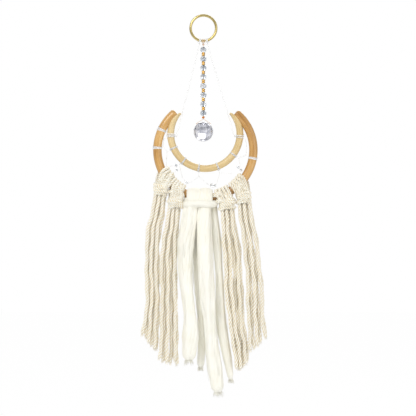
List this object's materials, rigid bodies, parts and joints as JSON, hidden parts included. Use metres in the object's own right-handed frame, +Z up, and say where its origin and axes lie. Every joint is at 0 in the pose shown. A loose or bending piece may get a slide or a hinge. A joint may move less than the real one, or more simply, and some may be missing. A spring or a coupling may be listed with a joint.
{
  "type": "dream catcher",
  "caption": "Crescent dream catcher of two bent canes hung from a brass ring, with a strand of glass and gold beads ending in a cut ball, a thread web, and cotton and wool tassels.",
  "frame": {"origin": "inside top of the hanging ring, where a nail or hook carries it", "axes": "+Z up along the hanging length, +X to the right seen from the front, +Y from the front towards the wall"},
  "size_m": [0.1259, 0.0214, 0.3784],
  "materials": {
    "ring_brass": "polished",
    "cane_brown": "gloss",
    "cane_straw": "satin",
    "brad_steel": "plain",
    "crystal": "faceted",
    "ball_crystal": "faceted",
    "gold_seed": "polished",
    "web_glass": "polished",
    "cotton": "twisted cord",
    "wool": "roving",
    "peach_thread": "thread",
    "orange_thread": "thread",
    "white_thread": "waxed thread"
  },
  "bodies": {
    "hanger": {"hanging_ring": "ring_brass"},
    "ring_hitches": {"suspension_hitches": "white_thread"},
    "crescent": {"suspension_leg_left": "white_thread", "suspension_leg_right": "white_thread", "leg_tie_left": "white_thread", "leg_tie_right": "white_thread", "outer_cane": "cane_brown", "inner_cane": "cane_straw", "horn_brads": "brad_steel", "web_wraps_outer": "white_thread", "web_wraps_inner": "white_thread", "web_thread": "white_thread", "roving_hitch": "wool", "tassel_hitch_left_outer": "cotton", "tassel_hitch_left_inner": "cotton", "tassel_hitch_right_inner": "cotton", "tassel_hitch_right_outer": "cotton", "web_bead_1": "web_glass", "web_bead_2": "web_glass", "web_bead_3": "web_glass", "web_bead_5": "web_glass", "web_bead_6": "web_glass"},
    "strand_knot": {"strand_top_knot": "peach_thread", "strand_link": "peach_thread"},
    "bead_strand": {"strand_thread": "peach_thread", "strand_end_knot": "orange_thread"},
    "ball_loop": {"ball_loop": "peach_thread"},
    "ball": {"crystal_ball": "ball_crystal"},
    "roving": {"roving_tail_1": "wool", "roving_tail_2": "wool", "roving_tail_3": "wool", "roving_tail_4": "wool"},
    "tassel_left_outer": {"tassel_tails_left_outer": "cotton"},
    "tassel_left_inner": {"tassel_tails_left_inner": "cotton"},
    "tassel_right_inner": {"tassel_tails_right_inner": "cotton"},
    "tassel_right_outer": {"tassel_tails_right_outer": "cotton"},
    "crystal_bead_1": {"crystal_bead_1": "crystal"},
    "crystal_bead_2": {"crystal_bead_2": "crystal"},
    "crystal_bead_3": {"crystal_bead_3": "crystal"},
    "crystal_bead_4": {"crystal_bead_4": "crystal"},
    "crystal_bead_5": {"crystal_bead_5": "crystal"},
    "crystal_bead_6": {"crystal_bead_6": "crystal"},
    "crystal_bead_7": {"crystal_bead_7": "crystal"},
    "crystal_bead_8": {"crystal_bead_8": "crystal"},
    "gold_beads_1": {"gold_beads_1": "gold_seed"},
    "gold_beads_2": {"gold_beads_2": "gold_seed"},
    "gold_beads_3": {"gold_beads_3": "gold_seed"},
    "gold_beads_4": {"gold_beads_4": "gold_seed"},
    "gold_beads_5": {"gold_beads_5": "gold_seed"},
    "gold_beads_6": {"gold_beads_6": "gold_seed"},
    "gold_beads_7": {"gold_beads_7": "gold_seed"},
    "web_bead_4": {"web_bead_4": "web_glass"}
  },
  "joints": [
    {"name": "hitch_slide", "type": "hinge", "parent": "hanger", "child": "ring_hitches", "pos_m": [0, 0, -0.0115], "axis": [0, 1, 0], "range_deg": [-20, 20]},
    {"name": "crescent_swing", "type": "hinge", "parent": "ring_hitches", "child": "crescent", "pos_m": [0, 0, -0.0243], "axis": [1, 0, 0], "range_deg": [-25, 25]},
    {"name": "strand_swing", "type": "hinge", "parent": "ring_hitches", "child": "strand_knot", "pos_m": [0, 0, -0.0243], "axis": [1, 0, 0], "range_deg": [-20, 20]},
    {"name": "strand_sway", "type": "hinge", "parent": "strand_knot", "child": "bead_strand", "pos_m": [0, 0, -0.03], "axis": [0, 1, 0], "range_deg": [-6, 6]},
    {"name": "crystal_bead_1_spin", "type": "hinge", "parent": "bead_strand", "child": "crystal_bead_1", "pos_m": [0, 0, -0.033], "axis": [0, 0, 1], "continuous": true},
    {"name": "crystal_bead_2_spin", "type": "hinge", "parent": "bead_strand", "child": "crystal_bead_2", "pos_m": [0, 0, -0.033], "axis": [0, 0, 1], "continuous": true},
    {"name": "crystal_bead_3_spin", "type": "hinge", "parent": "bead_strand", "child": "crystal_bead_3", "pos_m": [0, 0, -0.033], "axis": [0, 0, 1], "continuous": true},
    {"name": "crystal_bead_4_spin", "type": "hinge", "parent": "bead_strand", "child": "crystal_bead_4", "pos_m": [0, 0, -0.033], "axis": [0, 0, 1], "continuous": true},
    {"name": "crystal_bead_5_spin", "type": "hinge", "parent": "bead_strand", "child": "crystal_bead_5", "pos_m": [0, 0, -0.033], "axis": [0, 0, 1], "continuous": true},
    {"name": "crystal_bead_6_spin", "type": "hinge", "parent": "bead_strand", "child": "crystal_bead_6", "pos_m": [0, 0, -0.033], "axis": [0, 0, 1], "continuous": true},
    {"name": "crystal_bead_7_spin", "type": "hinge", "parent": "bead_strand", "child": "crystal_bead_7", "pos_m": [0, 0, -0.033], "axis": [0, 0, 1], "continuous": true},
    {"name": "crystal_bead_8_spin", "type": "hinge", "parent": "bead_strand", "child": "crystal_bead_8", "pos_m": [0, 0, -0.033], "axis": [0, 0, 1], "continuous": true},
    {"name": "gold_beads_1_spin", "type": "hinge", "parent": "bead_strand", "child": "gold_beads_1", "pos_m": [0, 0, -0.033], "axis": [0, 0, 1], "continuous": true},
    {"name": "gold_beads_2_spin", "type": "hinge", "parent": "bead_strand", "child": "gold_beads_2", "pos_m": [0, 0, -0.033], "axis": [0, 0, 1], "continuous": true},
    {"name": "gold_beads_3_spin", "type": "hinge", "parent": "bead_strand", "child": "gold_beads_3", "pos_m": [0, 0, -0.033], "axis": [0, 0, 1], "continuous": true},
    {"name": "gold_beads_4_spin", "type": "hinge", "parent": "bead_strand", "child": "gold_beads_4", "pos_m": [0, 0, -0.033], "axis": [0, 0, 1], "continuous": true},
    {"name": "gold_beads_5_spin", "type": "hinge", "parent": "bead_strand", "child": "gold_beads_5", "pos_m": [0, 0, -0.033], "axis": [0, 0, 1], "continuous": true},
    {"name": "gold_beads_6_spin", "type": "hinge", "parent": "bead_strand", "child": "gold_beads_6", "pos_m": [0, 0, -0.033], "axis": [0, 0, 1], "continuous": true},
    {"name": "gold_beads_7_spin", "type": "hinge", "parent": "bead_strand", "child": "gold_beads_7", "pos_m": [0, 0, -0.033], "axis": [0, 0, 1], "continuous": true},
    {"name": "ball_swivel", "type": "hinge", "parent": "bead_strand", "child": "ball_loop", "pos_m": [0, 0, -0.1], "axis": [0, 0, 1], "continuous": true},
    {"name": "ball_rock", "type": "hinge", "parent": "ball_loop", "child": "ball", "pos_m": [0, 0, -0.10719], "axis": [1, 0, 0], "range_deg": [-25, 25]},
    {"name": "web_bead_4_spin", "type": "hinge", "parent": "crescent", "child": "web_bead_4", "pos_m": [0.0096, 0, -0.1686], "axis": [1, 0, 0], "continuous": true},
    {"name": "tassel_left_outer_swing", "type": "hinge", "parent": "crescent", "child": "tassel_left_outer", "pos_m": [0, 0, -0.1715], "axis": [1, 0, 0], "range_deg": [-20, 20]},
    {"name": "tassel_left_inner_swing", "type": "hinge", "parent": "crescent", "child": "tassel_left_inner", "pos_m": [0, 0, -0.1845], "axis": [1, 0, 0], "range_deg": [-20, 20]},
    {"name": "tassel_right_inner_swing", "type": "hinge", "parent": "crescent", "child": "tassel_right_inner", "pos_m": [0, 0, -0.186], "axis": [1, 0, 0], "range_deg": [-20, 20]},
    {"name": "tassel_right_outer_swing", "type": "hinge", "parent": "crescent", "child": "tassel_right_outer", "pos_m": [0, 0, -0.1795], "axis": [1, 0, 0], "range_deg": [-20, 20]},
    {"name": "roving_swing", "type": "hinge", "parent": "crescent", "child": "roving", "pos_m": [0, 0, -0.1813], "axis": [1, 0, 0], "range_deg": [-20, 20]}
  ]
}
